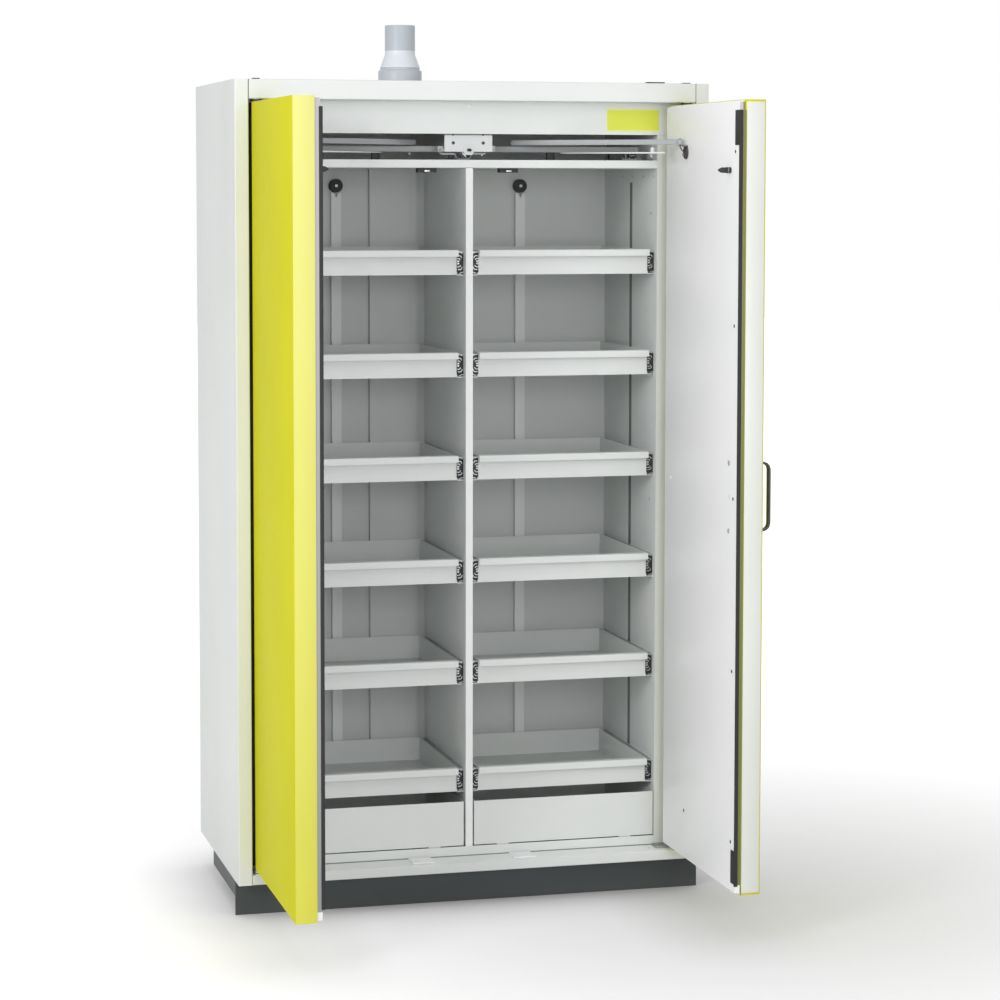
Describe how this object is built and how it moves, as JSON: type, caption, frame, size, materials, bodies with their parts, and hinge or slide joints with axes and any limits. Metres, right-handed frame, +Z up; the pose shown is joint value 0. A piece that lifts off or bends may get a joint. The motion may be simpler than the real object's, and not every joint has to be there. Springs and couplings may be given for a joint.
{
  "type": "fire-rated safety cabinet with pull-out trays",
  "caption": "Fire-rated floor cabinet with two hinged doors, pull-out trays in two columns over sump boxes, closer arms above and an exhaust spigot on the roof.",
  "frame": {"origin": "on the floor, at the centre of the box round the cabinet with both doors open at right angles", "axes": "+X to the right seen from the front, +Y towards the rear wall, +Z up; the doors open towards -Y"},
  "size_m": [1.197, 1.1462, 2.2045],
  "materials": {
    "casing_paint": "light grey powder coat with a faint orange-peel surface",
    "insulation_board": "matt calcium silicate board",
    "lining_paint": "mid grey satin coat",
    "tray_paint": "light grey powder coat",
    "white_paint": "white satin coat",
    "yellow_paint": "lime yellow powder coat, satin",
    "door_board": "board core with a smooth white coated face",
    "seal_rubber": "matt black rubber",
    "black_plastic": "matt black plastic",
    "dark_metal": "gun-metal coat, semi-gloss",
    "bright_steel": "zinc plated steel, brushed",
    "plinth_paint": "anthracite powder coat",
    "spigot_plastic": "grey-blue moulded plastic"
  },
  "bodies": {
    "casing": {"left_side_casing": "casing_paint", "right_side_casing": "casing_paint", "top_casing": "casing_paint", "base_casing": "casing_paint", "rear_casing": "casing_paint", "left_side_board": "insulation_board", "right_side_board": "insulation_board", "roof_board": "insulation_board", "floor_board": "insulation_board", "rear_board": "insulation_board", "fascia": "casing_paint", "apron": "casing_paint", "left_inner_wall": "lining_paint", "right_inner_wall": "lining_paint", "partition": "lining_paint", "ceiling_plate": "casing_paint", "rear_inner_wall": "lining_paint", "left_rear_rail": "lining_paint", "right_rear_rail": "lining_paint", "exhaust_spigot": "spigot_plastic", "closer_plate": "white_paint", "closer_guide_rail": "bright_steel", "closer_release": "dark_metal", "left_ceiling_catch": "black_plastic", "right_ceiling_catch": "black_plastic", "left_sill_plate": "white_paint", "right_sill_plate": "white_paint", "plinth": "plinth_paint", "left_front_foot": "black_plastic", "left_rear_foot": "black_plastic", "right_front_foot": "black_plastic", "right_rear_foot": "black_plastic"},
    "left_door": {"left_door_case": "yellow_paint", "left_door_panel": "door_board", "left_door_seal": "seal_rubber", "left_door_peg": "seal_rubber", "left_arm_bracket": "dark_metal"},
    "right_door": {"right_door_case": "yellow_paint", "right_door_panel": "door_board", "right_door_seal": "seal_rubber", "right_door_peg": "seal_rubber", "right_arm_bracket": "dark_metal", "right_door_handle": "dark_metal", "right_door_edge_cover": "white_paint"},
    "left_arm": {"left_closer_arm": "bright_steel"},
    "right_arm": {"right_closer_arm": "bright_steel"},
    "left_drawer_1": {"left_tray_1": "tray_paint"},
    "left_drawer_2": {"left_tray_2": "tray_paint"},
    "left_drawer_3": {"left_tray_3": "tray_paint"},
    "left_drawer_4": {"left_tray_4": "tray_paint"},
    "left_drawer_5": {"left_tray_5": "tray_paint"},
    "left_drawer_6": {"left_tray_6": "tray_paint"},
    "right_drawer_1": {"right_tray_1": "tray_paint"},
    "right_drawer_2": {"right_tray_2": "tray_paint"},
    "right_drawer_3": {"right_tray_3": "tray_paint"},
    "right_drawer_4": {"right_tray_4": "tray_paint"},
    "right_drawer_5": {"right_tray_5": "tray_paint"},
    "right_drawer_6": {"right_tray_6": "tray_paint"},
    "left_sump": {"left_sump_box": "tray_paint"},
    "right_sump": {"right_sump_box": "tray_paint"}
  },
  "joints": [
    {"name": "left_door_hinge", "type": "hinge", "parent": "casing", "child": "left_door", "pos_m": [-0.544, -0.0294, 1.059], "axis": [0, 0, -1], "range_deg": [-90, 5]},
    {"name": "right_door_hinge", "type": "hinge", "parent": "casing", "child": "right_door", "pos_m": [0.544, -0.0294, 1.059], "axis": [0, 0, 1], "range_deg": [-90, 5]},
    {"name": "left_arm_pivot", "type": "hinge", "parent": "left_door", "child": "left_arm", "pos_m": [-0.48, -0.1719, 1.9015], "axis": [0, 0, -1], "range_deg": [-6.8, 120]},
    {"name": "right_arm_pivot", "type": "hinge", "parent": "right_door", "child": "right_arm", "pos_m": [0.48, -0.1719, 1.9015], "axis": [0, 0, 1], "range_deg": [-6.6, 117]},
    {"name": "left_tray_1_slide", "type": "slide", "parent": "casing", "child": "left_drawer_1", "axis": [0, -1, 0], "range_m": [0, 0.3]},
    {"name": "left_tray_2_slide", "type": "slide", "parent": "casing", "child": "left_drawer_2", "axis": [0, -1, 0], "range_m": [0, 0.3]},
    {"name": "left_tray_3_slide", "type": "slide", "parent": "casing", "child": "left_drawer_3", "axis": [0, -1, 0], "range_m": [0, 0.3]},
    {"name": "left_tray_4_slide", "type": "slide", "parent": "casing", "child": "left_drawer_4", "axis": [0, -1, 0], "range_m": [0, 0.3]},
    {"name": "left_tray_5_slide", "type": "slide", "parent": "casing", "child": "left_drawer_5", "axis": [0, -1, 0], "range_m": [0, 0.3]},
    {"name": "left_tray_6_slide", "type": "slide", "parent": "casing", "child": "left_drawer_6", "axis": [0, -1, 0], "range_m": [0, 0.3]},
    {"name": "right_tray_1_slide", "type": "slide", "parent": "casing", "child": "right_drawer_1", "axis": [0, -1, 0], "range_m": [0, 0.3]},
    {"name": "right_tray_2_slide", "type": "slide", "parent": "casing", "child": "right_drawer_2", "axis": [0, -1, 0], "range_m": [0, 0.3]},
    {"name": "right_tray_3_slide", "type": "slide", "parent": "casing", "child": "right_drawer_3", "axis": [0, -1, 0], "range_m": [0, 0.3]},
    {"name": "right_tray_4_slide", "type": "slide", "parent": "casing", "child": "right_drawer_4", "axis": [0, -1, 0], "range_m": [0, 0.3]},
    {"name": "right_tray_5_slide", "type": "slide", "parent": "casing", "child": "right_drawer_5", "axis": [0, -1, 0], "range_m": [0, 0.3]},
    {"name": "right_tray_6_slide", "type": "slide", "parent": "casing", "child": "right_drawer_6", "axis": [0, -1, 0], "range_m": [0, 0.3]},
    {"name": "left_sump_slide", "type": "slide", "parent": "casing", "child": "left_sump", "axis": [0, -1, 0], "range_m": [0, 0.2]},
    {"name": "right_sump_slide", "type": "slide", "parent": "casing", "child": "right_sump", "axis": [0, -1, 0], "range_m": [0, 0.2]}
  ],
  "couplings": [
    {"joint": "left_arm_pivot", "follows": "left_door_hinge", "ratio": -1.3317},
    {"joint": "right_arm_pivot", "follows": "right_door_hinge", "ratio": -1.2928}
  ]
}
